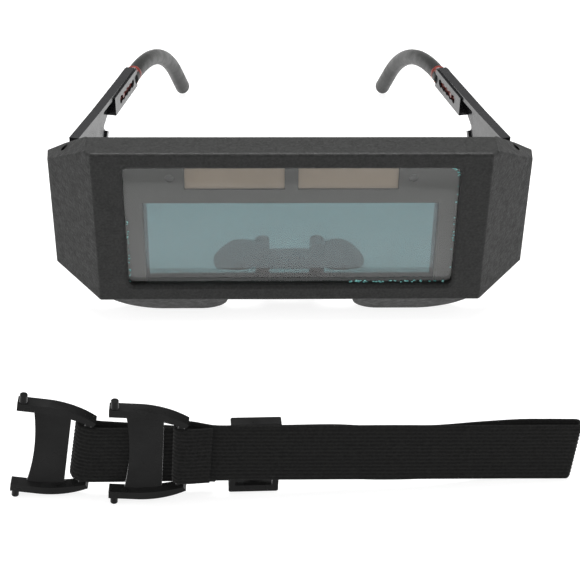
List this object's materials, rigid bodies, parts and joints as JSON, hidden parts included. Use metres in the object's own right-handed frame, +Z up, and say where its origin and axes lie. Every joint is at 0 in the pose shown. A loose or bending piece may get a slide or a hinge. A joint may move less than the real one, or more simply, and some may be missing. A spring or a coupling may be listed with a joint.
{
  "type": "welding goggles",
  "caption": "Wrap-around welding goggles with an auto-darkening rectangular filter, sliding ear hooks on folding temples, and a clip-on elastic headband lying in front.",
  "frame": {"origin": "on the table, under the middle of the goggles and headband together", "axes": "+X to the viewer's right across the lens, +Y back towards the wearer's face, +Z up"},
  "size_m": [0.1602, 0.2321, 0.0635],
  "materials": {
    "frame_plastic": "fine grained black moulding",
    "arm_plastic": "polished black",
    "clear_cover": "clear polycarbonate",
    "case_plastic": "smooth mid grey",
    "filter_glass": "blue-green coated glass",
    "shutter_glass": "liquid crystal between glass plates",
    "solar_cell": "tan-brown cell under clear resin",
    "sensor": "dark smoked lens",
    "board": "green solder mask",
    "cell_steel": "bare",
    "retainer_plastic": "black",
    "screw_steel": "zinc plated",
    "nose_bridge_plastic": "black",
    "nose_rubber": "soft black",
    "slider_orange": "orange",
    "hook_rubber": "soft mid grey",
    "yoke_plastic": "polished black",
    "band_elastic": "black ribbed elastic webbing",
    "glide_plastic": "black"
  },
  "bodies": {
    "frame": {"front_frame": "frame_plastic", "cover_lens": "clear_cover", "filter_case_front": "case_plastic", "filter_case_rear": "case_plastic", "uv_ir_filter_glass": "filter_glass", "lcd_shutter": "shutter_glass", "solar_cell_left": "solar_cell", "solar_cell_right": "solar_cell", "light_sensor_left": "sensor", "light_sensor_right": "sensor", "circuit_board": "board", "backup_cell": "cell_steel", "inner_cover_lens": "clear_cover", "cartridge_retainer": "retainer_plastic", "retainer_screws": "screw_steel", "nose_bridge": "nose_bridge_plastic", "nose_pad_left": "nose_rubber", "nose_pad_right": "nose_rubber"},
    "temple_left": {"temple_arm_left": "arm_plastic"},
    "hook_left": {"hook_slider_left": "slider_orange", "ear_hook_left": "hook_rubber"},
    "temple_right": {"temple_arm_right": "arm_plastic"},
    "hook_right": {"hook_slider_right": "slider_orange", "ear_hook_right": "hook_rubber"},
    "headband": {"elastic_band": "band_elastic"},
    "yoke_rear": {"yoke_left": "yoke_plastic"},
    "yoke_front": {"yoke_right": "yoke_plastic"},
    "glide": {"band_slider": "glide_plastic"}
  },
  "joints": [
    {"name": "temple_left_fold", "type": "hinge", "parent": "frame", "child": "temple_left", "pos_m": [-0.0698, -0.01894, 0.036], "axis": [0, 0, -1], "range_deg": [-14.5, 65.5]},
    {"name": "temple_right_fold", "type": "hinge", "parent": "frame", "child": "temple_right", "pos_m": [0.0698, -0.01894, 0.036], "axis": [0, 0, 1], "range_deg": [-14.5, 42.5]},
    {"name": "hook_left_slide", "type": "slide", "parent": "temple_left", "child": "hook_left", "axis": [0.2153, 0.9709, -0.1045], "range_m": [-0.0003, 0.008]},
    {"name": "hook_right_slide", "type": "slide", "parent": "temple_right", "child": "hook_right", "axis": [-0.2153, 0.9709, -0.1045], "range_m": [-0.0003, 0.008]},
    {"name": "headband_carry", "type": "slide", "parent": "frame", "child": "headband", "axis": [0, -1, 0], "range_m": [0, 0.1]},
    {"name": "yoke_left_swing", "type": "hinge", "parent": "headband", "child": "yoke_rear", "pos_m": [-0.0584, -0.11054, 0.01583], "axis": [0.1564, 0, 0.9877], "range_deg": [-20, 35]},
    {"name": "yoke_right_swing", "type": "hinge", "parent": "headband", "child": "yoke_front", "pos_m": [-0.03196, -0.11354, 0.0176], "axis": [0.0628, 0, 0.998], "range_deg": [-1, 35]},
    {"name": "band_slider_slide", "type": "slide", "parent": "headband", "child": "glide", "axis": [0.9972, 0.0639, -0.0383], "range_m": [-0.0015, 0.008]}
  ]
}
